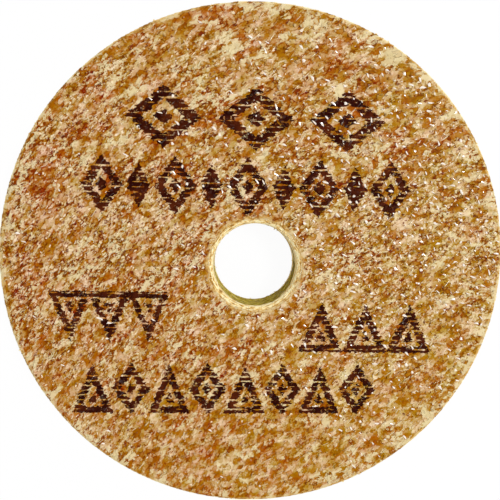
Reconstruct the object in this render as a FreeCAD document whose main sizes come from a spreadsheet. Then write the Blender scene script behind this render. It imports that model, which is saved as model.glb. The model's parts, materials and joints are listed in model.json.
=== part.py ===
"""Cotton buffing wheel: a small flat wheel of cotton plies, abrasive grain and resin.

The plies are stacked, soaked and pressed hot into one hard disc, so the wheel is a single solid.
Its rim and its bore are then cut true. The cut shows each glue line between two plies as a faint
line round the rim. The bore has a bevel at both mouths, where the cutter frays the soft face plies.

Frame: millimetres, +Z up along the bore. The wheel lies on its back face, and the origin is the
centre of that face.
"""

import FreeCAD, Part
import math
import os

import Sketcher

PARTS_FOLDER = "parts"
WHEEL_NODE = "buffing_wheel"

# Driving dimensions, in millimetres unless the name says otherwise
SIZES = (
    ("wheel_diameter", 38.1),
    ("wheel_thickness", 3.175),
    ("bore_diameter", 6.35),
    ("bore_bevel_width", 0.4),
    ("bore_bevel_depth", 0.25),
    ("rim_round_radius", 0.15),
    ("ply_count", 7),
    ("glue_line_width", 0.12),
    ("glue_line_depth", 0.06),
)

# How far the cutting profile of a glue line starts outside the rim
CUTTER_OVERSHOOT = 0.5
SAME_LENGTH = 1e-6


def make_sheet(doc):
    """The spreadsheet that holds every driving dimension under its own alias."""
    sheet = doc.addObject("Spreadsheet::Sheet", "Sizes")
    for row, (alias, value) in enumerate(SIZES, start=1):
        sheet.set(f"A{row}", alias)
        sheet.set(f"B{row}", str(value))
        sheet.setAlias(f"B{row}", alias)
    doc.recompute()
    return sheet


def origin_feature(body, role):
    """The body's own origin plane or axis that has this role."""
    return next(f for f in body.Origin.OriginFeatures if f.Role == role)


def half_section_sketch(body):
    """A sketch on the body's XZ plane: its X is the radius and its Y is the height."""
    sketch = body.newObject("Sketcher::SketchObject", "HalfSection")
    sketch.AttachmentSupport = [(origin_feature(body, "XZ_Plane"), "")]
    sketch.MapMode = "FlatFace"
    return sketch


def bind(sketch, constraint, name, expression):
    """Adds a constraint to the sketch, names it, and ties its value to the sheet."""
    index = sketch.addConstraint(constraint)
    sketch.renameConstraint(index, name)
    sketch.setExpression(f"Constraints.{name}", expression)
    return index


def draw_closed_outline(sketch, corners):
    """Draws straight edges from corner to corner and joins each end to the next start."""
    points = [FreeCAD.Vector(radius, height, 0) for radius, height in corners]
    count = len(points)
    for i in range(count):
        sketch.addGeometry(Part.LineSegment(points[i], points[(i + 1) % count]), False)
    for i in range(count):
        sketch.addConstraint(Sketcher.Constraint("Coincident", i, 2, (i + 1) % count, 1))


def make_disc(doc, body, size):
    """The pressed disc with its bore and both bore bevels, turned from one half section."""
    bore_radius = size["bore_diameter"] / 2
    rim_radius = size["wheel_diameter"] / 2
    thickness = size["wheel_thickness"]
    mouth_radius = bore_radius + size["bore_bevel_width"]
    bevel_depth = size["bore_bevel_depth"]

    sketch = half_section_sketch(body)
    back_face, rim, front_face, front_bevel, bore_wall, back_bevel = range(6)
    draw_closed_outline(
        sketch,
        [
            (mouth_radius, 0),
            (rim_radius, 0),
            (rim_radius, thickness),
            (mouth_radius, thickness),
            (bore_radius, thickness - bevel_depth),
            (bore_radius, bevel_depth),
        ],
    )
    for edge in (back_face, front_face):
        sketch.addConstraint(Sketcher.Constraint("Horizontal", edge))
    for edge in (rim, bore_wall):
        sketch.addConstraint(Sketcher.Constraint("Vertical", edge))
    # The back face lies on the sketch's X axis
    sketch.addConstraint(Sketcher.Constraint("PointOnObject", back_face, 1, -1))

    lengths = (
        ("rim_radius", "DistanceX", (-1, 1, back_face, 2), "Sizes.wheel_diameter / 2"),
        ("thickness", "DistanceY", (rim, 1, rim, 2), "Sizes.wheel_thickness"),
        ("bore_radius", "DistanceX", (-1, 1, bore_wall, 1), "Sizes.bore_diameter / 2"),
        ("front_bevel_width", "DistanceX", (front_bevel, 2, front_bevel, 1), "Sizes.bore_bevel_width"),
        ("front_bevel_depth", "DistanceY", (front_bevel, 2, front_bevel, 1), "Sizes.bore_bevel_depth"),
        ("back_bevel_width", "DistanceX", (back_bevel, 1, back_bevel, 2), "Sizes.bore_bevel_width"),
        ("back_bevel_depth", "DistanceY", (back_bevel, 2, back_bevel, 1), "Sizes.bore_bevel_depth"),
    )
    values = {
        "rim_radius": rim_radius,
        "thickness": thickness,
        "bore_radius": bore_radius,
        "front_bevel_width": size["bore_bevel_width"],
        "front_bevel_depth": bevel_depth,
        "back_bevel_width": size["bore_bevel_width"],
        "back_bevel_depth": bevel_depth,
    }
    for name, kind, points, expression in lengths:
        bind(sketch, Sketcher.Constraint(kind, *points, values[name]), name, expression)
    doc.recompute()

    disc = body.newObject("PartDesign::Revolution", "PressedDisc")
    disc.Profile = sketch
    disc.ReferenceAxis = (origin_feature(body, "Z_Axis"), "")
    disc.Angle = 360
    sketch.Visibility = False
    doc.recompute()
    return disc


def make_rim_rounds(doc, body, disc, size):
    """The two outer corners, rounded a little where loose grain has broken away."""
    rim_radius = size["wheel_diameter"] / 2
    corners = []
    for number, edge in enumerate(disc.Shape.Edges, start=1):
        is_circle = isinstance(edge.Curve, Part.Circle)
        if is_circle and math.isclose(edge.Curve.Radius, rim_radius, abs_tol=SAME_LENGTH):
            corners.append(f"Edge{number}")
    rounds = body.newObject("PartDesign::Fillet", "RimRounds")
    rounds.Base = (disc, corners)
    rounds.Radius = size["rim_round_radius"]
    rounds.setExpression("Radius", "Sizes.rim_round_radius")
    doc.recompute()
    return rounds


def make_glue_lines(doc, body, size):
    """One shallow V round the rim at each glue line, evenly spaced through the thickness."""
    rim_radius = size["wheel_diameter"] / 2
    ply_thickness = size["wheel_thickness"] / size["ply_count"]
    root_radius = rim_radius - size["glue_line_depth"]
    outside_radius = rim_radius + CUTTER_OVERSHOOT
    half_width = size["glue_line_width"] / 2
    # The V's sides run on past the rim, so it is wider at the cutter's outer edge
    outside_half_width = half_width * (outside_radius - root_radius) / size["glue_line_depth"]

    sketch = half_section_sketch(body)
    sketch.Label = "GlueLineProfile"
    lower_side, outer_edge, upper_side = range(3)
    draw_closed_outline(
        sketch,
        [
            (root_radius, ply_thickness),
            (outside_radius, ply_thickness - outside_half_width),
            (outside_radius, ply_thickness + outside_half_width),
        ],
    )
    sketch.addConstraint(Sketcher.Constraint("Vertical", outer_edge))
    sketch.addConstraint(Sketcher.Constraint("Equal", lower_side, upper_side))
    bind(
        sketch,
        Sketcher.Constraint("DistanceX", -1, 1, lower_side, 1, root_radius),
        "root_radius",
        "Sizes.wheel_diameter / 2 - Sizes.glue_line_depth",
    )
    bind(
        sketch,
        Sketcher.Constraint("DistanceY", -1, 1, lower_side, 1, ply_thickness),
        "first_glue_line_height",
        "Sizes.wheel_thickness / Sizes.ply_count",
    )
    overshoot_text = f"({CUTTER_OVERSHOOT} + Sizes.glue_line_depth)"
    bind(
        sketch,
        Sketcher.Constraint("DistanceX", lower_side, 1, lower_side, 2, outside_radius - root_radius),
        "cutter_reach",
        overshoot_text,
    )
    bind(
        sketch,
        Sketcher.Constraint("DistanceY", outer_edge, 1, outer_edge, 2, 2 * outside_half_width),
        "cutter_width",
        f"Sizes.glue_line_width * {overshoot_text} / Sizes.glue_line_depth",
    )
    doc.recompute()

    first_line = body.newObject("PartDesign::Groove", "FirstGlueLine")
    first_line.Profile = sketch
    first_line.ReferenceAxis = (origin_feature(body, "Z_Axis"), "")
    first_line.Angle = 360
    sketch.Visibility = False
    doc.recompute()

    glue_lines = body.newObject("PartDesign::LinearPattern", "GlueLines")
    glue_lines.Originals = [first_line]
    glue_lines.Direction = (origin_feature(body, "Z_Axis"), "")
    glue_lines.Length = ply_thickness * (size["ply_count"] - 2)
    glue_lines.setExpression("Length", "Sizes.wheel_thickness / Sizes.ply_count * (Sizes.ply_count - 2)")
    glue_lines.Occurrences = int(size["ply_count"]) - 1
    glue_lines.setExpression("Occurrences", "Sizes.ply_count - 1")
    body.Tip = glue_lines
    doc.recompute()
    return glue_lines


def check_document(doc, bodies):
    """Stops the build if any object failed or any piece isn't one valid solid."""
    for item in doc.Objects:
        if "Invalid" in item.State or "Error" in item.State:
            raise RuntimeError(f"{item.Name} is in state {item.State}")
    for body in bodies:
        shape = body.Shape
        if shape.isNull() or not shape.isValid() or len(shape.Solids) != 1:
            raise RuntimeError(f"{body.Label} is not one valid solid")


def main():
    doc = FreeCAD.newDocument("CottonBuffingWheel")
    size = dict(SIZES)
    make_sheet(doc)

    wheel = doc.addObject("PartDesign::Body", "BuffingWheel")
    wheel.Label = WHEEL_NODE
    disc = make_disc(doc, wheel, size)
    rounds = make_rim_rounds(doc, wheel, disc, size)
    glue_lines = make_glue_lines(doc, wheel, size)
    print("volumes, mm3:", disc.Shape.Volume, rounds.Shape.Volume, glue_lines.Shape.Volume)

    check_document(doc, [wheel])
    os.makedirs(PARTS_FOLDER, exist_ok=True)
    wheel.Shape.exportStep(os.path.join(PARTS_FOLDER, f"{WHEEL_NODE}.step"))


main()
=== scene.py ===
"""Cotton buffing wheel: the finish of the wheel, and the floor, light and camera that show it.

The wheel is one hard disc of cotton plies, abrasive grain and resin, 38.1 mm across. It lies on its
back face on a pale floor, and the camera looks down on the marked front face. Metres, with +Z along
the bore and out of the front face.
"""

import json
import math

import bpy
from mathutils import Matrix, Vector

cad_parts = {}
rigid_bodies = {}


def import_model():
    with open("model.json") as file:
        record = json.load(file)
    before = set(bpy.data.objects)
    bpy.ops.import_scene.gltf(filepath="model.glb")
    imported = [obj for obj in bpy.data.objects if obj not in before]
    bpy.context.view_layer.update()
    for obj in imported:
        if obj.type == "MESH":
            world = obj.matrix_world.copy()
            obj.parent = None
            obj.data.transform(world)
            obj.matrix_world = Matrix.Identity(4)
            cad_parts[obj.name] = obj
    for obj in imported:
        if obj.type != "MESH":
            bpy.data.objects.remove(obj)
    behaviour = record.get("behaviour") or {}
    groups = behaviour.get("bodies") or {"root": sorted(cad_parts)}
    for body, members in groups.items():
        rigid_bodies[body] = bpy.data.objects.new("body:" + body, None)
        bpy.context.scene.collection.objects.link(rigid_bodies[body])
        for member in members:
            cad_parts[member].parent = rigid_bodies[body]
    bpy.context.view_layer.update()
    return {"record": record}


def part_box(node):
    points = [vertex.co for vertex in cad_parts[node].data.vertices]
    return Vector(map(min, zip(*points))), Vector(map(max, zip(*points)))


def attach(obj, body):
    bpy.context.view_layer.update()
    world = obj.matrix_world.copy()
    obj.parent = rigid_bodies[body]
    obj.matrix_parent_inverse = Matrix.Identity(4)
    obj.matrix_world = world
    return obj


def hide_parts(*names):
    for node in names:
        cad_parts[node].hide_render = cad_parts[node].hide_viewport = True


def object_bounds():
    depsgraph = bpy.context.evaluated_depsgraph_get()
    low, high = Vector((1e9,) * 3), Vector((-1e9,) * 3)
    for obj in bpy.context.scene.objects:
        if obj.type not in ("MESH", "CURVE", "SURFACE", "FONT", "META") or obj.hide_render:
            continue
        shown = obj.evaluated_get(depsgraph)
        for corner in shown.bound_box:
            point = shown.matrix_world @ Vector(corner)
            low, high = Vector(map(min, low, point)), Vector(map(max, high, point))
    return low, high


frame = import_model()


# The pressed wheel: cotton plies soaked in resin and grain, cured hot under a press as one hard
# disc. The rim and the bore are cut true afterwards, which bares the pale ends of the plies there,
# and a cutter takes off both mouths of the bore.
mm = 0.001
wheel_low, wheel_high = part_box("buffing_wheel")
wheel_radius = (wheel_high.x - wheel_low.x) / 2
thickness = wheel_high.z - wheel_low.z
bore = next(m for m in frame["record"]["mounts"] if m["name"] == "arbor_bore")
bore_radius = bore["dims"]["r_mm"] * mm
bevel_depth = (thickness - bore["dims"]["length_mm"] * mm) / 2
bevel_width = 0.4 * mm
mouth_radius = bore_radius + bevel_width
# The cutter folds a lip of pale fibre down the bore's wall, deeper towards the top of the print
lip_depth = 1.1 * mm
lip_slant = 0.22
rim_round = 0.15 * mm
ply_count = 7
ply_pitch = thickness / ply_count
glue_line_depth = 0.09 * mm
glue_line_half_width = 0.11 * mm
ring_points = 256
# The relief needs two faces across one grain, which is a third of a millimetre
relief_face_size = 0.168 * mm


def apply_modifier(piece, kind, **settings):
    """Adds a modifier of this kind to the active piece and applies it."""
    modifier = piece.modifiers.new(kind.lower(), kind)
    for name, value in settings.items():
        setattr(modifier, name, value)
    bpy.ops.object.modifier_apply(modifier=modifier.name)


# The half section, as radius and height, from the lower end of the bore wall and round to it again
half_section = [
    (bore_radius, bevel_depth),
    (bore_radius, thickness - bevel_depth),
    (mouth_radius, thickness),
    (wheel_radius - rim_round, thickness),
    (wheel_radius, thickness - rim_round),
]
for glue_line in range(ply_count - 1, 0, -1):
    height = glue_line * ply_pitch
    half_section += [
        (wheel_radius, height + glue_line_half_width),
        (wheel_radius - glue_line_depth, height),
        (wheel_radius, height - glue_line_half_width),
    ]
half_section += [
    (wheel_radius, rim_round),
    (wheel_radius - rim_round, 0),
    (mouth_radius, 0),
    (bore_radius, bevel_depth),
]

bpy.ops.object.select_all(action="DESELECT")
bpy.ops.mesh.primitive_circle_add(
    vertices=ring_points, radius=bore_radius, location=(0, 0, bevel_depth)
)
wheel = bpy.context.object
wheel.name = wheel.data.name = "pressed_wheel"
bpy.ops.object.transform_apply(location=True, rotation=True, scale=True)
bpy.ops.object.mode_set(mode="EDIT")
bpy.ops.mesh.select_all(action="SELECT")
for (last_radius, last_height), (radius, height) in zip(half_section, half_section[1:]):
    bpy.ops.mesh.extrude_edges_move(
        TRANSFORM_OT_translate={"value": (0, 0, height - last_height)}
    )
    growth = radius / last_radius
    bpy.ops.transform.resize(value=(growth, growth, 1), center_override=(0, 0, 0))
bpy.ops.mesh.select_all(action="SELECT")
bpy.ops.mesh.remove_doubles(threshold=0.001 * mm)
bpy.ops.mesh.normals_make_consistent(inside=False)
bpy.ops.object.mode_set(mode="OBJECT")
apply_modifier(wheel, "REMESH", mode="VOXEL", voxel_size=relief_face_size, use_smooth_shade=True)

# The cutter leaves the rim and the bore nearly true, so the relief of the pressed faces fades there
fade_width = 0.5 * mm
least_relief = 0.1
pressed = wheel.vertex_groups.new(name="pressed_faces")
for vertex in wheel.data.vertices:
    from_axis = math.hypot(vertex.co.x, vertex.co.y)
    inside_cut = min(from_axis - mouth_radius, wheel_radius - from_axis) / fade_width
    pressed.add([vertex.index], min(1, max(least_relief, inside_cut)), "REPLACE")

# The relief, coarse to fine: the press leaves slow waves, then tufts of fibre, then single grains
for relief_name, kind, relief_size, height in (
    ("waves", "CLOUDS", 2.6 * mm, 0.07 * mm),
    ("tufts", "CLOUDS", 0.75 * mm, 0.08 * mm),
    ("grains", "VORONOI", 0.34 * mm, 0.08 * mm),
):
    texture = bpy.data.textures.new(relief_name, kind)
    texture.noise_scale = relief_size
    apply_modifier(
        wheel,
        "DISPLACE",
        texture=texture,
        texture_coords="LOCAL",
        strength=height,
        mid_level=0.5,
        vertex_group="pressed_faces",
    )


def linear(hex_colour):
    """An sRGB hex colour as the linear RGBA that a shader takes."""
    channels = [int(hex_colour[i : i + 2], 16) / 255 for i in (1, 3, 5)]
    return [c / 12.92 if c <= 0.04045 else ((c + 0.055) / 1.055) ** 2.4 for c in channels] + [1]


def add(tree, kind, inputs=None, output=0, stops=(), **settings):
    """Adds a node with its settings, sets or links its inputs, and gives back one output, if asked.

    Stops are a colour ramp's, each a position between 0 and 1 and a hex colour.
    """
    node = tree.nodes.new(kind)
    for name, value in settings.items():
        setattr(node, name, value)
    for socket, value in (inputs or {}).items():
        if isinstance(value, bpy.types.NodeSocket):
            tree.links.new(value, node.inputs[socket])
        else:
            node.inputs[socket].default_value = value
    for position, hex_colour in stops:
        node.color_ramp.elements.new(position).color = linear(hex_colour)
    if stops:
        for end in (-1, 0):
            node.color_ramp.elements.remove(node.color_ramp.elements[end])
    return None if output is None else node.outputs[output]


# The print: rows of plain shapes that a worn stamp left on the front face, in dark brown ink. The
# stamp was built up in level lines, so it skips along them and its edges are ragged sideways.
print_turn = math.radians(-1.2)
line_pitch = 0.38
# In mm: shape, first centre, middle height, pitch, count, half width, half height, stroke, and the
# distance inside the outline past which the middle is solid
print_rows = (
    ("diamond", -6.9, 10.8, 6.75, 3, 2.8, 2.25, 0.76, 1.3),
    ("diamond", -11.4, 5.85, 5.36, 5, 1.55, 2.2, 0.58, 0.92),
    ("diamond", -8.72, 5.85, 5.36, 4, 0.85, 1.7, 0.8, 9.0),
    ("upended triangle", -13.9, -4.1, 2.95, 3, 1.6, 1.95, 0.48, 0.82),
    ("triangle", 5.2, -4.75, 3.45, 3, 1.75, 1.95, 0.56, 0.86),
    ("triangle", -12.3, -9.75, 5.86, 4, 1.6, 1.95, 0.54, 0.84),
    ("diamond", -9.37, -9.75, 5.86, 4, 1.45, 2.1, 0.55, 0.88),
)

ink_tree = bpy.data.node_groups.new("stamped_ink", "ShaderNodeTree")
ink_tree.interface.new_socket("Ink", in_out="OUTPUT", socket_type="NodeSocketFloat")
ink_place = add(
    ink_tree,
    "ShaderNodeMapping",
    {"Vector": add(ink_tree, "ShaderNodeTexCoord", output="Object"), "Scale": (1 / mm,) * 3},
)
print_place = add(
    ink_tree,
    "ShaderNodeVectorRotate",
    {"Vector": ink_place, "Angle": -print_turn},
    rotation_type="Z_AXIS",
)
# Grain under the ink moves its edge a little both ways, and each level line slips to one side
blots = add(
    ink_tree, "ShaderNodeTexNoise", {"Vector": ink_place, "Scale": 4.5, "Detail": 3.0}, "Color"
)
slips = add(
    ink_tree, "ShaderNodeMapping", {"Vector": print_place, "Scale": (0.8, 1.6 / line_pitch, 0)}
)
slips = add(ink_tree, "ShaderNodeTexNoise", {"Vector": slips, "Scale": 1.0, "Detail": 1.0}, "Color")
shifted = print_place
for drift, reach in ((blots, (0.4, 0.4, 0)), (slips, (0.6, 0.1, 0))):
    drift = add(
        ink_tree, "ShaderNodeVectorMath", {0: drift, 1: (0.5, 0.5, 0.5)}, operation="SUBTRACT"
    )
    shifted = add(
        ink_tree,
        "ShaderNodeVectorMath",
        {0: drift, 1: reach, 2: shifted},
        operation="MULTIPLY_ADD",
    )
across = add(ink_tree, "ShaderNodeSeparateXYZ", {0: shifted})
along = across.node.outputs["Y"]

marks = 0.0
for shape, first, middle, pitch, count, half_width, half_height, stroke, core in print_rows:
    row_middle = first + pitch * (count - 1) / 2
    in_row = add(
        ink_tree,
        "ShaderNodeMath",
        {0: across, 1: row_middle, 2: pitch * count / 2},
        operation="COMPARE",
    )
    offset = add(ink_tree, "ShaderNodeMath", {0: across, 1: first}, operation="SUBTRACT")
    offset = add(
        ink_tree, "ShaderNodeMath", {0: offset, 1: pitch / 2, 2: -pitch / 2}, operation="WRAP"
    )
    offset = add(ink_tree, "ShaderNodeMath", {0: offset}, operation="ABSOLUTE")
    rise = add(ink_tree, "ShaderNodeMath", {0: along, 1: middle}, operation="SUBTRACT")
    if shape == "upended triangle":
        rise = add(ink_tree, "ShaderNodeMath", {0: rise, 1: -1.0}, operation="MULTIPLY")
    end_sign = -1.0
    if shape == "diamond":
        rise = add(ink_tree, "ShaderNodeMath", {0: rise}, operation="ABSOLUTE")
        end_sign = 1.0
    # The side's distance is a sum of the offset and the rise, each times a factor, and a constant
    widening = 1.0 if shape == "diamond" else 2.0
    slope = math.hypot(widening / half_width, 1 / half_height)
    side = add(
        ink_tree,
        "ShaderNodeMath",
        {0: rise, 1: 1 / half_height / slope, 2: -1 / slope},
        operation="MULTIPLY_ADD",
    )
    side = add(
        ink_tree,
        "ShaderNodeMath",
        {0: offset, 1: widening / half_width / slope, 2: side},
        operation="MULTIPLY_ADD",
    )
    end = add(
        ink_tree,
        "ShaderNodeMath",
        {0: rise, 1: end_sign, 2: -half_height},
        operation="MULTIPLY_ADD",
    )
    outline = add(ink_tree, "ShaderNodeMath", {0: side, 1: end}, operation="MAXIMUM")
    mark = add(
        ink_tree,
        "ShaderNodeMath",
        {0: outline, 1: -stroke / 2, 2: stroke / 2},
        operation="COMPARE",
    )
    solid = add(ink_tree, "ShaderNodeMath", {0: outline, 1: -core}, operation="LESS_THAN")
    mark = add(ink_tree, "ShaderNodeMath", {0: mark, 1: solid}, operation="ADD")
    marks = add(
        ink_tree, "ShaderNodeMath", {0: mark, 1: in_row, 2: marks}, operation="MULTIPLY_ADD"
    )

# A skip is a hairline between two level lines of the stamp, there or not as the noise says
hairline = add(
    ink_tree,
    "ShaderNodeMath",
    {
        0: add(ink_tree, "ShaderNodeSeparateXYZ", {0: print_place}, "Y"),
        1: line_pitch / 2,
        2: -line_pitch / 2,
    },
    operation="WRAP",
)
hairline = add(ink_tree, "ShaderNodeMath", {0: hairline}, operation="ABSOLUTE")
skips = add(ink_tree, "ShaderNodeMapping", {"Vector": print_place, "Scale": (0.7, 2.0, 0)})
skips = add(ink_tree, "ShaderNodeTexNoise", {"Vector": skips, "Scale": 1.3, "Detail": 2.0})
skips = add(
    ink_tree,
    "ShaderNodeMapRange",
    {"Value": skips, "From Min": 0.36, "From Max": 0.53, "To Min": 0.085, "To Max": 0.0},
)
skips = add(ink_tree, "ShaderNodeMath", {0: hairline, 1: skips}, operation="GREATER_THAN")
# The ink is worn off here and there, and only the front face has any
worn = add(
    ink_tree,
    "ShaderNodeTexNoise",
    {"Vector": ink_place, "Scale": 3.0, "Detail": 4.0, "Roughness": 0.7},
)
worn = add(ink_tree, "ShaderNodeMapRange", {"Value": worn, "From Min": 0.66, "From Max": 0.59})
on_front = add(
    ink_tree,
    "ShaderNodeMath",
    {0: add(ink_tree, "ShaderNodeSeparateXYZ", {0: ink_place}, "Z"), 1: thickness / mm * 0.9},
    operation="GREATER_THAN",
)
for mask in (skips, worn, on_front):
    marks = add(
        ink_tree, "ShaderNodeMath", {0: marks, 1: mask}, operation="MULTIPLY", use_clamp=True
    )
add(ink_tree, "NodeGroupOutput", {"Ink": marks}, None)

# Pressed cotton and resin: red-brown and amber where resin and grain came to the face, tan and
# cream where the fibre did, in crisp flakes that lean one way. Shift makes a piece paler or darker,
# and Mottle is how much of the flakes it shows.
cotton_tree = bpy.data.node_groups.new("pressed_cotton", "ShaderNodeTree")
for socket_name, value in (("Shift", 0.0), ("Mottle", 1.0)):
    socket = cotton_tree.interface.new_socket(
        socket_name, in_out="INPUT", socket_type="NodeSocketFloat"
    )
    socket.default_value = value
for socket_name, socket_type in (
    ("Colour", "NodeSocketColor"),
    ("Fibre", "NodeSocketFloat"),
    ("Height", "NodeSocketFloat"),
):
    cotton_tree.interface.new_socket(socket_name, in_out="OUTPUT", socket_type=socket_type)
place = add(
    cotton_tree,
    "ShaderNodeMapping",
    {"Vector": add(cotton_tree, "ShaderNodeTexCoord", output="Object"), "Scale": (1 / mm,) * 3},
)
place_x = add(cotton_tree, "ShaderNodeSeparateXYZ", {0: place})
place_y = place_x.node.outputs["Y"]
place_z = place_x.node.outputs["Z"]
# Flakes lean at 48 degrees on the left of the face and at 28 on the right
lean = add(
    cotton_tree,
    "ShaderNodeMapRange",
    {
        "Value": place_x,
        "From Min": -wheel_radius / mm,
        "From Max": wheel_radius / mm,
        "To Min": math.radians(-48),
        "To Max": math.radians(-28),
    },
)
leaning = add(
    cotton_tree, "ShaderNodeVectorRotate", {"Vector": place, "Angle": lean}, rotation_type="Z_AXIS"
)
leaning = add(
    cotton_tree, "ShaderNodeVectorMath", {0: leaning, 1: (0.67, 1.03, 1.0)}, operation="MULTIPLY"
)
warp = add(cotton_tree, "ShaderNodeTexNoise", {"Vector": leaning, "Scale": 5.0}, "Color")
warp = add(
    cotton_tree, "ShaderNodeVectorMath", {0: warp, 1: (0.5, 0.5, 0.5)}, operation="SUBTRACT"
)
warped = add(
    cotton_tree,
    "ShaderNodeVectorMath",
    {0: warp, 1: (0.35, 0.35, 0.35), 2: leaning},
    operation="MULTIPLY_ADD",
)

# The height over the true surface, on the faces, the rim and the bore alike
level = add(
    cotton_tree, "ShaderNodeMath", {0: place_z, 1: thickness / mm / 2}, operation="SUBTRACT"
)
level = add(cotton_tree, "ShaderNodeMath", {0: level}, operation="ABSOLUTE")
level = add(
    cotton_tree, "ShaderNodeMath", {0: level, 1: thickness / mm / 2}, operation="SUBTRACT"
)
past_face = level
outward = add(
    cotton_tree, "ShaderNodeVectorMath", {0: place, 1: (1, 1, 0)}, operation="MULTIPLY"
)
from_axis = add(
    cotton_tree, "ShaderNodeVectorMath", {0: outward}, "Value", operation="LENGTH"
)
past_rim = add(
    cotton_tree, "ShaderNodeMath", {0: from_axis, 1: wheel_radius / mm}, operation="SUBTRACT"
)
past_bore = add(
    cotton_tree, "ShaderNodeMath", {0: bore_radius / mm, 1: from_axis}, operation="SUBTRACT"
)
for side_height in (past_rim, past_bore):
    level = add(cotton_tree, "ShaderNodeMath", {0: level, 1: side_height}, operation="MAXIMUM")
# Partly painted shade: the colour darkens where the relief dips and pales where it stands up
stand = add(
    cotton_tree,
    "ShaderNodeMapRange",
    {"Value": level, "From Min": -0.12, "From Max": 0.08, "To Min": 0.39, "To Max": 0.61},
)

# Fibre share, higher where the surface stands up and lower in its hollows, which is partly resin
# lying there and partly painted shade. Each scale is in features to a millimetre: clumps are 1 mm
# across, tufts 0.43, flakes 0.26, small flakes 0.17 and crumbs 0.12, and all of them are half as
# long again the way they lean.
fibre = add(
    cotton_tree,
    "ShaderNodeMath",
    {0: add(cotton_tree, "NodeGroupInput", output="Shift"), 1: stand},
    operation="ADD",
)
clumps = add(cotton_tree, "ShaderNodeTexNoise", {"Vector": leaning, "Scale": 1.0, "Detail": 2.0})
# A flake is a cell of one tone, and a noise read at its middle says if it is resin or fibre
flakes = add(cotton_tree, "ShaderNodeTexVoronoi", {"Vector": warped, "Scale": 3.8}, "Color")
tufts = add(
    cotton_tree,
    "ShaderNodeTexNoise",
    {"Vector": flakes.node.outputs["Position"], "Scale": 2.3, "Detail": 2.0},
)
tufts = add(
    cotton_tree,
    "ShaderNodeMapRange",
    {"Value": tufts, "From Min": 0.46, "From Max": 0.55},
)
flakes = add(cotton_tree, "ShaderNodeSeparateColor", {0: flakes})
crumbs = add(cotton_tree, "ShaderNodeTexVoronoi", {"Vector": warped, "Scale": 8.0}, "Color")
crumbs = add(cotton_tree, "ShaderNodeSeparateColor", {0: crumbs})
small_flakes = add(cotton_tree, "ShaderNodeTexVoronoi", {"Vector": warped, "Scale": 5.8}, "Color")
small_flakes = add(cotton_tree, "ShaderNodeSeparateColor", {0: small_flakes})
# The small flakes and crumbs show most across the middle of the wheel, and more at its left. They
# come in busy spots a millimetre or two across, with calm ones between.
calm = add(cotton_tree, "ShaderNodeMath", {0: place_y, 1: 3.0}, operation="SUBTRACT")
calm = add(cotton_tree, "ShaderNodeMath", {0: calm}, operation="ABSOLUTE")
calm = add(cotton_tree, "ShaderNodeMath", {0: place_x, 1: 0.3, 2: calm}, operation="MULTIPLY_ADD")
busy = add(cotton_tree, "ShaderNodeTexNoise", {"Vector": leaning, "Scale": 0.7, "Detail": 1.0})
busy = add(
    cotton_tree,
    "ShaderNodeMapRange",
    {"Value": busy, "From Min": 0.4, "From Max": 0.6, "To Min": 0.35, "To Max": 1.65},
)
fine_share = add(
    cotton_tree,
    "ShaderNodeMapRange",
    {"Value": calm, "From Min": 4.0, "From Max": 18.0, "To Min": 2.5, "To Max": 0.9},
)
fine_share = add(cotton_tree, "ShaderNodeMath", {0: fine_share, 1: busy}, operation="MULTIPLY")
# The tones of small flakes and crumbs are cubed, so most are near the flakes about them and a few
# stand out. The steps between flakes, which the bump reads, leave out the crumbs, added last.
mottle = 0.0
for tone, power, share in (
    (tufts, 1.0, 0.28),
    (flakes, 1.0, 0.15),
    (small_flakes, 3.0, fine_share),
    (crumbs, 3.0, fine_share),
):
    steps = mottle
    tone = add(cotton_tree, "ShaderNodeMath", {0: tone, 1: 0.5}, operation="SUBTRACT")
    tone = add(cotton_tree, "ShaderNodeMath", {0: tone, 1: power}, operation="POWER")
    mottle = add(
        cotton_tree, "ShaderNodeMath", {0: tone, 1: share, 2: mottle}, operation="MULTIPLY_ADD"
    )
fibre = add(
    cotton_tree,
    "ShaderNodeMath",
    {0: mottle, 1: add(cotton_tree, "NodeGroupInput", output="Mottle"), 2: fibre},
    operation="MULTIPLY_ADD",
)
drift = add(cotton_tree, "ShaderNodeTexNoise", {"Vector": leaning, "Scale": 0.28, "Detail": 2.0})
clump_share = add(
    cotton_tree,
    "ShaderNodeMapRange",
    {
        "Value": place_x,
        "From Min": -wheel_radius / mm,
        "From Max": wheel_radius / mm,
        "To Min": 0.68,
        "To Max": 0.9,
    },
)
for tone, share in ((clumps, clump_share), (drift, 0.2)):
    tone = add(cotton_tree, "ShaderNodeMath", {0: tone, 1: 0.5}, operation="SUBTRACT")
    fibre = add(
        cotton_tree, "ShaderNodeMath", {0: tone, 1: share, 2: fibre}, operation="MULTIPLY_ADD"
    )
# Zones a few millimetres across are darker, and the hue further down makes them redder too
zones = add(
    cotton_tree, "ShaderNodeTexNoise", {"Vector": leaning, "Scale": 0.38, "Detail": 3.0}
)
zones = add(
    cotton_tree, "ShaderNodeMapRange", {"Value": zones, "From Min": 0.45, "From Max": 0.65}
)
fibre = add(
    cotton_tree, "ShaderNodeMath", {0: zones, 1: -0.03, 2: fibre}, operation="MULTIPLY_ADD"
)
# The left of the wheel is a little darker than the right, and the top than the bottom
for along_axis, change in ((place_x, 0.015), (place_y, -0.01)):
    fibre = add(
        cotton_tree,
        "ShaderNodeMath",
        {0: along_axis, 1: change / (2 * wheel_radius / mm), 2: fibre},
        operation="MULTIPLY_ADD",
    )
colour = add(
    cotton_tree,
    "ShaderNodeValToRGB",
    {"Fac": fibre},
    stops=(
        (0.13, "#7e3a0c"),
        (0.26, "#98581a"),
        (0.38, "#a86d28"),
        (0.48, "#b38340"),
        (0.57, "#bf9962"),
        (0.68, "#cfaf82"),
        (0.87, "#ead1ab"),
    ),
)
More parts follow.
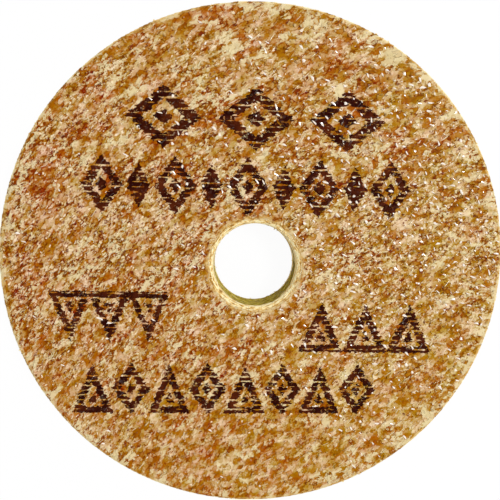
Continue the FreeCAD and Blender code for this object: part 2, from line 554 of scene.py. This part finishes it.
# The bottom of the face is stronger in colour than the top. Some flakes are redder than others, and
# the left is redder than the right.
tinge = add(
    cotton_tree,
    "ShaderNodeMapRange",
    {
        "Value": place_y,
        "From Min": wheel_radius / mm,
        "From Max": -wheel_radius / mm,
        "To Min": 1.05,
        "To Max": 1.07,
    },
)
redness = add(cotton_tree, "ShaderNodeTexNoise", {"Vector": warped, "Scale": 2.0, "Detail": 3.0})
redness = add(
    cotton_tree,
    "ShaderNodeMapRange",
    {"Value": redness, "From Min": 0.35, "From Max": 0.65, "To Min": 0.514, "To Max": 0.488},
)
for tone, change in ((zones, -0.012), (place_x, 0.006 / (wheel_radius / mm))):
    redness = add(
        cotton_tree, "ShaderNodeMath", {0: tone, 1: change, 2: redness}, operation="MULTIPLY_ADD"
    )
colour = add(
    cotton_tree,
    "ShaderNodeHueSaturation",
    {"Color": colour, "Hue": redness, "Saturation": tinge},
)

# Spots: a few whole grains in red-brown resin, many small pits between the flakes, and pale specks
# that are painted small glints. They are rarest where the flakes are calm.
for spot_scale, reach, rarity, strength, spot_colour in (
    (2.1, 0.24, 0.8, 0.85, "#74200a"),
    (4.0, 0.36, 0.8, 0.85, "#6e2404"),
    (5.6, 0.42, 0.82, 0.8, "#7c3206"),
    # Painted glints: the small pale specks
    (4.4, 0.36, 0.83, 0.85, "#fbe8c8"),
):
    cells = add(cotton_tree, "ShaderNodeTexVoronoi", {"Vector": warped, "Scale": spot_scale})
    near = add(
        cotton_tree,
        "ShaderNodeMapRange",
        {"Value": cells, "From Min": reach, "From Max": reach - 0.08},
    )
    chosen = add(cotton_tree, "ShaderNodeSeparateColor", {0: cells.node.outputs["Color"]})
    chosen = add(
        cotton_tree, "ShaderNodeMath", {0: calm, 1: -0.009, 2: chosen}, operation="MULTIPLY_ADD"
    )
    chosen = add(
        cotton_tree,
        "ShaderNodeMapRange",
        {"Value": chosen, "From Min": rarity - 0.02, "From Max": rarity, "To Max": strength},
    )
    spot = add(cotton_tree, "ShaderNodeMath", {0: near, 1: chosen}, operation="MULTIPLY")
    colour = add(
        cotton_tree,
        "ShaderNodeMix",
        {0: spot, 6: colour, 7: linear(spot_colour)},
        2,
        data_type="RGBA",
    )

# Patches of bare cotton, broken up at their edges by the flakes, and more of them beside the rim
patches = add(
    cotton_tree,
    "ShaderNodeTexNoise",
    {"Vector": leaning, "Scale": 0.8, "Detail": 3.0, "Roughness": 0.6, "Distortion": 0.5},
)
patches = add(
    cotton_tree, "ShaderNodeMath", {0: fibre, 1: 0.3, 2: patches}, operation="MULTIPLY_ADD"
)
slow_waver = add(cotton_tree, "ShaderNodeTexNoise", {"Vector": place, "Scale": 0.13})
near_rim = add(
    cotton_tree, "ShaderNodeMapRange", {"Value": past_rim, "From Min": -1.8, "From Max": -0.2}
)
near_rim = add(cotton_tree, "ShaderNodeMath", {0: near_rim, 1: slow_waver}, operation="MULTIPLY")
patches = add(
    cotton_tree, "ShaderNodeMath", {0: near_rim, 1: 0.19, 2: patches}, operation="MULTIPLY_ADD"
)
patches = add(
    cotton_tree,
    "ShaderNodeMapRange",
    {"Value": patches, "From Min": 0.765, "From Max": 0.83, "To Max": 0.7},
)
colour = add(
    cotton_tree,
    "ShaderNodeMix",
    {0: patches, 6: colour, 7: linear("#e4d4a4")},
    2,
    data_type="RGBA",
)

# Cut edges: the rim and the bore's bevels show cream cotton, and the bore wall is olive, in streaks
# that follow the plies; the wall's olive is darker and greener than the cut cotton, as painted
# shade inside the bore. A line of glue shows between two plies.
waver = add(cotton_tree, "ShaderNodeTexNoise", {"Vector": place, "Scale": 2.0, "Detail": 4.0})
# The rim's cut reaches a little way in over the face, unevenly, and is full further down the rim
rim_cut = past_rim
for wave, reach in ((waver, 0.6), (slow_waver, 1.0), (past_face, -0.8)):
    rim_cut = add(
        cotton_tree, "ShaderNodeMath", {0: wave, 1: reach, 2: rim_cut}, operation="MULTIPLY_ADD"
    )
rim_cut = add(
    cotton_tree,
    "ShaderNodeMapRange",
    {"Value": rim_cut, "From Min": 0.58, "From Max": 0.63, "To Max": 0.88},
)
# The bevel's outer edge wavers by a tenth or two of a millimetre, and the cut colour starts there
bore_waver = 0.8
bevel_edge = bore_waver / 2 - bevel_width / mm
bore_cut = add(
    cotton_tree, "ShaderNodeMath", {0: waver, 1: bore_waver, 2: past_bore}, operation="MULTIPLY_ADD"
)
bore_cut = add(
    cotton_tree,
    "ShaderNodeMapRange",
    {
        "Value": bore_cut,
        "From Min": bevel_edge - 0.26,
        "From Max": bevel_edge + 0.02,
        "To Max": 0.97,
    },
)
cut = add(cotton_tree, "ShaderNodeMath", {0: rim_cut, 1: bore_cut}, operation="MAXIMUM")
# Streaks of cut fibre run round the wheel, a tenth of a millimetre wide and a half long
around = add(cotton_tree, "ShaderNodeVectorMath", {0: outward}, operation="NORMALIZE")
streak_place = add(cotton_tree, "ShaderNodeMath", {0: from_axis, 1: place_z}, operation="ADD")
streak_place = add(cotton_tree, "ShaderNodeMath", {0: streak_place, 1: 8.0}, operation="MULTIPLY")
streak_place = add(cotton_tree, "ShaderNodeCombineXYZ", {2: streak_place})
streak_place = add(
    cotton_tree,
    "ShaderNodeVectorMath",
    {0: around, 1: (7.0, 7.0, 7.0), 2: streak_place},
    operation="MULTIPLY_ADD",
)
streaks = add(
    cotton_tree, "ShaderNodeTexNoise", {"Vector": streak_place, "Scale": 1.0, "Detail": 2.0}
)
cut_fibre = add(
    cotton_tree,
    "ShaderNodeMapRange",
    {"Value": past_bore, "From Min": -0.6, "From Max": 0.0, "To Min": -0.66, "To Max": -0.44},
)
cut_fibre = add(
    cotton_tree, "ShaderNodeMath", {0: streaks, 1: 2.1, 2: cut_fibre}, operation="MULTIPLY_ADD"
)
cut_fibre = add(cotton_tree, "ShaderNodeMix", {0: bore_cut, 2: fibre, 3: cut_fibre})
cut_colour = add(
    cotton_tree,
    "ShaderNodeValToRGB",
    {"Fac": cut_fibre},
    stops=((0.2, "#9a6a24"), (0.34, "#e4b968"), (0.48, "#fadc98"), (0.66, "#fff4c4")),
)
# The wall's own colour starts below the lip, whose edge wavers
in_bore = add(
    cotton_tree,
    "ShaderNodeMapRange",
    {"Value": past_bore, "From Min": -0.07, "From Max": -0.02},
)
lip_waver = 0.6
below_lip = past_face
for wave, reach in ((place_y, lip_slant), (waver, lip_waver)):
    below_lip = add(
        cotton_tree, "ShaderNodeMath", {0: wave, 1: reach, 2: below_lip}, operation="MULTIPLY_ADD"
    )
below_lip = add(
    cotton_tree,
    "ShaderNodeMath",
    {0: below_lip, 1: lip_waver / 2 - lip_depth / mm},
    operation="LESS_THAN",
)
in_bore = add(cotton_tree, "ShaderNodeMath", {0: in_bore, 1: below_lip}, operation="MULTIPLY")
# The wall is darkest at the right, as painted shade on the side facing away from the lamp
wall_streaks_and_shade = add(
    cotton_tree,
    "ShaderNodeMapRange",
    {"Value": place_x, "From Max": bore_radius / mm, "To Min": 0.0, "To Max": -0.14},
)
wall_streaks_and_shade = add(cotton_tree, "ShaderNodeMath", {0: streaks, 1: wall_streaks_and_shade}, operation="ADD")
# Painted shade: the wall's olive is darker than the cut cotton of the bevel above it
wall_colour_and_shade = add(
    cotton_tree,
    "ShaderNodeValToRGB",
    {"Fac": wall_streaks_and_shade},
    stops=((0.36, "#665a06"), (0.5, "#b4a41c"), (0.62, "#efe27c")),
)
cut_colour = add(
    cotton_tree, "ShaderNodeMix", {0: in_bore, 6: cut_colour, 7: wall_colour_and_shade}, 2, data_type="RGBA"
)
glue = add(
    cotton_tree,
    "ShaderNodeMath",
    {0: place_z, 1: ply_pitch / mm / 2, 2: -ply_pitch / mm / 2},
    operation="WRAP",
)
glue = add(cotton_tree, "ShaderNodeMath", {0: glue}, operation="ABSOLUTE")
glue = add(
    cotton_tree,
    "ShaderNodeMapRange",
    {"Value": glue, "From Min": 0.1, "From Max": 0.03, "To Max": 0.5},
)
cut_colour = add(
    cotton_tree,
    "ShaderNodeMix",
    {0: glue, 6: cut_colour, 7: linear("#a9782c")},
    2,
    data_type="RGBA",
)
colour = add(cotton_tree, "ShaderNodeMix", {0: cut, 6: colour, 7: cut_colour}, 2, data_type="RGBA")

stamped = add(cotton_tree, "ShaderNodeGroup", node_tree=ink_tree)
ink_colour = add(
    cotton_tree,
    "ShaderNodeValToRGB",
    {"Fac": clumps},
    stops=((0.4, "#2c0702"), (0.65, "#542009")),
)
colour = add(
    cotton_tree, "ShaderNodeMix", {0: stamped, 6: colour, 7: ink_colour}, 2, data_type="RGBA"
)
pressed_share = add(cotton_tree, "ShaderNodeMath", {0: 1.0, 1: bore_cut}, operation="SUBTRACT")
steps = add(cotton_tree, "ShaderNodeMath", {0: steps, 1: pressed_share}, operation="MULTIPLY")
add(cotton_tree, "NodeGroupOutput", {"Colour": colour, "Fibre": fibre, "Height": steps}, None)

# Resin-bonded cotton, hot pressed: hard and mostly dull, with a dim gloss where resin came up
bonded_cotton = bpy.data.materials.new("resin_bonded_cotton_hot_pressed")
bonded_cotton.use_nodes = True
tree = bonded_cotton.node_tree
shader = tree.nodes["Principled BSDF"]
pattern = add(tree, "ShaderNodeGroup", node_tree=cotton_tree)
tree.links.new(pattern, shader.inputs["Base Color"])
shader.inputs["Specular IOR Level"].default_value = 0.03
roughness = add(
    tree,
    "ShaderNodeMapRange",
    {
        "Value": pattern.node.outputs["Fibre"],
        "From Min": 0.3,
        "From Max": 0.6,
        "To Min": 0.45,
        "To Max": 0.85,
    },
)
tree.links.new(roughness, shader.inputs["Roughness"])
# The flakes lie over one another, so each ends in a small step that the light picks out
bump = add(
    tree,
    "ShaderNodeBump",
    {"Height": pattern.node.outputs["Height"], "Distance": 0.12 * mm, "Filter Width": 0.6},
)
tree.links.new(bump, shader.inputs["Normal"])
wheel.data.materials.clear()
wheel.data.materials.append(bonded_cotton)

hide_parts("buffing_wheel")
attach(wheel, "root")


# The grain: aluminium oxide of a medium grit, crushed into sharp crystals a third of a millimetre
# across. It lies half sunk in the resin on both faces and round the rim, and its facets catch the
# light.
grain_size = 0.4 * mm
oxide_ior = 1.76


def crush(name, size, jag, stretches, first_seed=0):
    """A collection of crushed crystals, one to a stretch, whose corners stray by size times jag."""
    crystals = bpy.data.collections.new(name)
    for seed, stretch in enumerate(stretches, first_seed):
        bpy.ops.object.select_all(action="DESELECT")
        bpy.ops.mesh.primitive_ico_sphere_add(subdivisions=1, radius=size / 2)
        crystal = bpy.context.object
        bpy.ops.object.mode_set(mode="EDIT")
        bpy.ops.mesh.select_all(action="SELECT")
        bpy.ops.transform.vertex_random(offset=size * jag, seed=seed)
        bpy.ops.transform.resize(value=stretch, center_override=(0, 0, 0))
        bpy.ops.mesh.normals_make_consistent(inside=False)
        bpy.ops.object.mode_set(mode="OBJECT")
        crystal.users_collection[0].objects.unlink(crystal)
        crystals.objects.link(crystal)
    return crystals


grain_shapes = crush(
    "grain_shapes",
    grain_size,
    jag=0.22,
    stretches=((1.25, 0.8, 0.7), (1.0, 0.95, 0.75), (1.5, 0.7, 0.6), (0.9, 0.8, 0.9)),
)

# Fused aluminium oxide under a film of resin: hard bright facets in tans, ambers and red-browns
oxide = bpy.data.materials.new("fused_aluminium_oxide_grain")
oxide.use_nodes = True
tree = oxide.node_tree
shader = tree.nodes["Principled BSDF"]
shader.inputs["Roughness"].default_value = 0.36
shader.inputs["IOR"].default_value = oxide_ior
shader.inputs["Specular IOR Level"].default_value = 0.12
tone = add(tree, "ShaderNodeAttribute", output="Fac", attribute_name="tone")
shift = add(tree, "ShaderNodeMapRange", {"Value": tone, "To Min": -0.12, "To Max": 0.12})
pattern = add(tree, "ShaderNodeGroup", {"Shift": shift, "Mottle": 0.6}, node_tree=cotton_tree)
tree.links.new(pattern, shader.inputs["Base Color"])
for crystal in grain_shapes.objects:
    crystal.data.materials.append(oxide)


# The spot where the splinters further below are thickest, how far it reaches, and how far off they
# are thinnest. Crowding the white splinters about it paints the glints of the lamp on the right.
painted_glint_spot = Vector((16 * mm, 6 * mm, thickness / 2))
painted_glint_reach = 4 * mm
painted_glint_fade_reach = 27 * mm


def scatter(name, shapes, heights, radii, spacing, spin, tilt, sizes, sink, seed, far_share=1.0):
    """A piece made of copies of the shapes on the wheel, between two heights and two radii.

    Spin turns a copy about the surface's normal, tilt leans it, and sink lets it into the surface.
    Far share is how much of the full number lies far from the spot of painted glints. Each copy
    also gets a tone from 0 to 1, which its material reads.
    """
    tree = bpy.data.node_groups.new(name, "GeometryNodeTree")
    tree.interface.new_socket("Geometry", in_out="OUTPUT", socket_type="NodeSocketGeometry")
    surface = add(tree, "GeometryNodeObjectInfo", {"Object": wheel}, "Geometry")
    place = add(tree, "GeometryNodeInputPosition")
    height = add(tree, "ShaderNodeSeparateXYZ", {0: place}, "Z")
    from_axis = add(tree, "ShaderNodeVectorMath", {0: place, 1: (1, 1, 0)}, operation="MULTIPLY")
    from_axis = add(tree, "ShaderNodeVectorMath", {0: from_axis}, "Value", operation="LENGTH")
    region = 1.0
    for measure, (low, high) in ((height, heights), (from_axis, radii)):
        within = add(
            tree,
            "ShaderNodeMath",
            {0: measure, 1: (low + high) / 2, 2: (high - low) / 2},
            operation="COMPARE",
        )
        region = add(tree, "ShaderNodeMath", {0: within, 1: region}, operation="MULTIPLY")
    away = add(
        tree, "ShaderNodeVectorMath", {0: place, 1: painted_glint_spot}, "Value", operation="DISTANCE"
    )
    thinning = add(
        tree,
        "ShaderNodeMapRange",
        {
            "Value": away,
            "From Min": painted_glint_reach,
            "From Max": painted_glint_fade_reach,
            "To Min": 1.0,
            "To Max": far_share,
        },
        interpolation_type="SMOOTHSTEP",
    )
    # More points are tried than the spacing leaves room for, so no wide gap stays open
    points = add(
        tree,
        "GeometryNodeDistributePointsOnFaces",
        {
            "Mesh": surface,
            "Selection": region,
            "Distance Min": spacing,
            "Density Max": 1.2 / spacing**2,
            "Density Factor": thinning,
            "Seed": seed,
        },
        distribute_method="POISSON",
    )
    normal = points.node.outputs["Normal"]
    lowered = add(tree, "ShaderNodeVectorMath", {0: normal, "Scale": -sink}, operation="SCALE")
    points = add(tree, "GeometryNodeSetPosition", {"Geometry": points, "Offset": lowered})
    turns = []
    for turn_seed, (low, high) in enumerate((((0, 0, spin[0]), (0, 0, spin[1])), tilt)):
        turn = add(
            tree,
            "FunctionNodeRandomValue",
            {"Min": low, "Max": high, "Seed": seed + turn_seed + 1},
            "Value",
            data_type="FLOAT_VECTOR",
        )
        turns.append(add(tree, "FunctionNodeEulerToRotation", {0: turn}))
    turned = add(
        tree,
        "FunctionNodeAlignRotationToVector",
        {"Rotation": turns[0], "Vector": normal},
        axis="Z",
    )
    turned = add(
        tree,
        "FunctionNodeRotateRotation",
        {"Rotation": turned, "Rotate By": turns[1]},
        rotation_space="LOCAL",
    )
    instances = add(
        tree,
        "GeometryNodeCollectionInfo",
        {"Collection": shapes, "Separate Children": True, "Reset Children": True},
    )
    scale = add(
        tree, "FunctionNodeRandomValue", {2: sizes[0], 3: sizes[1], "Seed": seed + 3}, 1
    )
    copies = add(
        tree,
        "GeometryNodeInstanceOnPoints",
        {
            "Points": points,
            "Instance": instances,
            "Pick Instance": True,
            "Rotation": turned,
            "Scale": scale,
        },
    )
    tone = add(tree, "FunctionNodeRandomValue", {"Seed": seed + 4}, 1)
    copies = add(
        tree,
        "GeometryNodeStoreNamedAttribute",
        {"Geometry": copies, "Name": "tone", "Value": tone},
        data_type="FLOAT",
        domain="INSTANCE",
    )
    copies = add(tree, "GeometryNodeRealizeInstances", {"Geometry": copies})
    add(tree, "NodeGroupOutput", {"Geometry": copies}, None)

    bpy.ops.object.select_all(action="DESELECT")
    bpy.ops.mesh.primitive_plane_add(size=mm)
    piece = bpy.context.object
    piece.name = piece.data.name = name
    apply_modifier(piece, "NODES", node_group=tree)
    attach(piece, "root")


face_radii = (mouth_radius + 0.15 * mm, wheel_radius - 0.35 * mm)
front_heights = (thickness / 2, 2 * thickness)
back_heights = (-thickness, thickness / 2)
any_turn = ((-math.pi, -math.pi, -math.pi), (math.pi, math.pi, math.pi))
rim_heights = (0.2 * mm, thickness - 0.2 * mm)
rim_radii = (wheel_radius - 0.12 * mm, 2 * wheel_radius)
for name, heights, radii, sink, seed in (
    ("front_grain", front_heights, face_radii, 0.06 * mm, 11),
    ("back_grain", back_heights, face_radii, 0.06 * mm, 12),
    ("rim_grain", rim_heights, rim_radii, 0.13 * mm, 13),
):
    scatter(
        name,
        grain_shapes,
        heights,
        radii,
        spacing=0.3 * mm,
        spin=(0, 2 * math.pi),
        tilt=any_turn,
        sizes=(0.55, 1.05),
        sink=sink,
        seed=seed,
    )


# The splinters: grain that broke as the wheel was pressed, clear white inside. It shows as small
# bright flecks, crowded at the right of the face as painted glints of the lamp there.
splinter_length = 0.5 * mm
splinter_shapes = crush(
    "splinter_shapes",
    splinter_length,
    jag=0.4,
    stretches=((1.3, 0.45, 0.3), (1.0, 0.55, 0.3), (1.6, 0.38, 0.25)),
    first_seed=7,
)

# White fused aluminium oxide, freshly broken: white and glassy on top, with painted shade in tan on
# its sides
white_oxide = bpy.data.materials.new("white_fused_oxide_broken")
white_oxide.use_nodes = True
tree = white_oxide.node_tree
shader = tree.nodes["Principled BSDF"]
facing_up = add(tree, "ShaderNodeNewGeometry", output="Normal")
facing_up = add(tree, "ShaderNodeSeparateXYZ", {0: facing_up}, "Z")
facing_up = add(tree, "ShaderNodeMath", {0: facing_up}, operation="ABSOLUTE")
facing_up = add(
    tree, "ShaderNodeMapRange", {"Value": facing_up, "From Min": 0.6, "From Max": 0.8}
)
# Painted shade: the sides, turned from the light above, are tan and only the tops are white
painted_side_shade = add(
    tree,
    "ShaderNodeMix",
    {0: facing_up, 6: linear("#b9854a"), 7: linear("#fdf2e4")},
    2,
    data_type="RGBA",
)
tree.links.new(painted_side_shade, shader.inputs["Base Color"])
shader.inputs["Roughness"].default_value = 0.14
shader.inputs["IOR"].default_value = oxide_ior
shader.inputs["Coat Weight"].default_value = 1.0
for splinter in splinter_shapes.objects:
    splinter.data.materials.append(white_oxide)

# Painted glints: the white splinters crowd at the right of the face, on the lamp's side
for name, heights, seed in (
    ("front_splinters", front_heights, 41),
    ("back_splinters", back_heights, 42),
):
    scatter(
        name,
        splinter_shapes,
        heights,
        face_radii,
        spacing=0.46 * mm,
        spin=(math.radians(-80), 0),
        tilt=((-0.4, -0.4, 0), (0.4, 0.4, 0)),
        sizes=(0.22, 0.85),
        sink=0.0,
        seed=seed,
        far_share=0.03,
    )


# The fibre: tufts of cotton that the press laid flat in the faces, stiff and glassy with resin.
# Most lean the way the plies were cut, and they fray at the mouths of the bore.
fibre_shapes = bpy.data.collections.new("fibre_shapes")
fibre_steps = 4
# In mm and radians. A strand is thickest in the middle and narrow at both ends.
for length, radius, bend in (
    (0.5, 0.042, 0.15),
    (0.7, 0.036, -0.2),
    (0.4, 0.045, 0.1),
    (0.85, 0.033, 0.25),
):
    bpy.ops.object.select_all(action="DESELECT")
    bpy.ops.mesh.primitive_circle_add(
        vertices=4,
        radius=radius * mm,
        fill_type="NGON",
        location=(-length / 2 * mm, 0, 0),
        rotation=(0, math.pi / 2, 0),
    )
    strand = bpy.context.object
    bpy.ops.object.transform_apply(location=True, rotation=True, scale=True)
    bpy.ops.object.mode_set(mode="EDIT")
    bpy.ops.mesh.select_all(action="SELECT")
    for step in range(fibre_steps):
        bpy.ops.mesh.extrude_region_move(
            TRANSFORM_OT_translate={"value": (length * mm / fibre_steps, 0, 0)}
        )
        swell = 1.6 if step == 0 else (0.55 if step == fibre_steps - 1 else 1.0)
        bpy.ops.transform.resize(value=(1, swell, swell), center_override=(0, 0, 0))
    bpy.ops.mesh.select_all(action="SELECT")
    bpy.ops.mesh.normals_make_consistent(inside=False)
    bpy.ops.object.mode_set(mode="OBJECT")
    apply_modifier(strand, "SIMPLE_DEFORM", deform_method="BEND", angle=bend, deform_axis="Z")
    bpy.ops.object.shade_smooth()
    strand.users_collection[0].objects.unlink(strand)
    fibre_shapes.objects.link(strand)

# Cotton soaked in clear resin: pale tan to cream strands with a narrow glassy shine
soaked_cotton = bpy.data.materials.new("resin_soaked_cotton_fibre")
soaked_cotton.use_nodes = True
tree = soaked_cotton.node_tree
shader = tree.nodes["Principled BSDF"]
shader.inputs["Roughness"].default_value = 0.3
shader.inputs["Coat Weight"].default_value = 0.6
shader.inputs["Coat Roughness"].default_value = 0.12
tone = add(tree, "ShaderNodeAttribute", output="Fac", attribute_name="tone")
shift = add(tree, "ShaderNodeMapRange", {"Value": tone, "To Min": -0.1, "To Max": 0.35})
pattern = add(tree, "ShaderNodeGroup", {"Shift": shift}, node_tree=cotton_tree)
tree.links.new(pattern, shader.inputs["Base Color"])
for strand in fibre_shapes.objects:
    strand.data.materials.append(soaked_cotton)

slight_tilt = ((-0.15, -0.15, 0), (0.15, 0.15, 0))
for name, heights, seed in (("front_fibre", front_heights, 21), ("back_fibre", back_heights, 22)):
    scatter(
        name,
        fibre_shapes,
        heights,
        (face_radii[0] + 0.4 * mm, face_radii[1] - 0.4 * mm),
        spacing=0.75 * mm,
        spin=(math.radians(18), math.radians(62)),
        tilt=slight_tilt,
        sizes=(0.6, 1.1),
        sink=0.0,
        seed=seed,
    )
for name, heights, seed in (
    ("front_bore_fray", (thickness - bevel_depth, 2 * thickness), 31),
    ("back_bore_fray", (-thickness, bevel_depth), 32),
):
    scatter(
        name,
        fibre_shapes,
        heights,
        (bore_radius, mouth_radius + 0.05 * mm),
        spacing=0.16 * mm,
        spin=(0, math.pi),
        tilt=slight_tilt,
        sizes=(0.35, 0.8),
        sink=0.0,
        seed=seed,
    )

# The single shapes have all been copied
for shape in [*grain_shapes.objects, *splinter_shapes.objects, *fibre_shapes.objects]:
    bpy.data.objects.remove(shape)


# The floor: a wide sheet of matt white paper, shown near white, that keeps some of the shadow. The
# wheel stands on the lowest grain of its back face.
floor_size = 6.0
shadow_kept = 0.05
lowest_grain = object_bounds()[0].z
bpy.ops.object.select_all(action="DESELECT")
bpy.ops.mesh.primitive_plane_add(size=floor_size, location=(0, 0, lowest_grain))
floor = bpy.context.object
floor.name = "floor"
bpy.ops.object.transform_apply(location=True, rotation=True, scale=True)
floor_paper = bpy.data.materials.new("matt_white_paper")
floor_paper.use_nodes = True
tree = floor_paper.node_tree
tree.nodes.clear()
matt = add(tree, "ShaderNodeBsdfDiffuse", {"Color": linear("#fafafa")})
plain_white = add(tree, "ShaderNodeEmission", {"Color": linear("#ffffff"), "Strength": 1.0})
seen = 0.0
path = add(tree, "ShaderNodeLightPath")
for ray in ("Is Camera Ray", "Is Glossy Ray", "Is Transmission Ray"):
    seen = add(
        tree, "ShaderNodeMath", {0: path.node.outputs[ray], 1: seen}, operation="MAXIMUM"
    )
seen = add(tree, "ShaderNodeMath", {0: seen, 1: 1 - shadow_kept}, operation="MULTIPLY")
paper = add(tree, "ShaderNodeMixShader", {0: seen, 1: matt, 2: plain_white})
add(tree, "ShaderNodeOutputMaterial", {"Surface": paper}, None)
floor.data.materials.append(floor_paper)


# Studio light: an even pale surround, white to the camera, and one lamp on the right of the wheel
surround_light = 0.61
world = bpy.data.worlds.new("pale_surround")
bpy.context.scene.world = world
world.use_nodes = True
tree = world.node_tree
tree.nodes.clear()
path = add(tree, "ShaderNodeLightPath")
strength = add(
    tree,
    "ShaderNodeMapRange",
    {"Value": path, "To Min": surround_light, "To Max": 1.0},
)
surround = add(tree, "ShaderNodeBackground", {"Color": linear("#ffffff"), "Strength": strength})
add(tree, "ShaderNodeOutputWorld", {"Surface": surround}, None)

lamp_data = bpy.data.lights.new("key_lamp", "AREA")
lamp_data.shape = "DISK"
lamp_data.size = 0.1
lamp_data.energy = 0.68
lamp = bpy.data.objects.new("key_lamp", lamp_data)
bpy.context.scene.collection.objects.link(lamp)
lamp.location = (0.17, 0.05, 0.3)
lamp_aim = Vector((0, 0, thickness)) - lamp.location
lamp.rotation_euler = lamp_aim.to_track_quat("-Z", "Y").to_euler()


# The camera: close above the wheel and a little beyond its middle, as in the photograph
camera_height = 32.0
camera_place = Vector((-1.45, 4.50, thickness / mm + camera_height)) * mm
looked_at = Vector((-0.38, 1.18, thickness / mm)) * mm
camera_data = bpy.data.cameras.new("camera")
camera_data.sensor_width = 36
camera_data.lens = 30.75
camera_data.clip_start = 1 * mm
camera_data.clip_end = 10
camera = bpy.data.objects.new("camera", camera_data)
bpy.context.scene.collection.objects.link(camera)
ahead = (looked_at - camera_place).normalized()
right = ahead.cross(Vector((0, 1, 0))).normalized()
up = right.cross(ahead)
facing = Matrix((right, up, -ahead)).transposed().to_4x4()
camera.matrix_world = Matrix.Translation(camera_place) @ facing
bpy.context.scene.camera = camera
bpy.context.scene.view_settings.view_transform = "Standard"
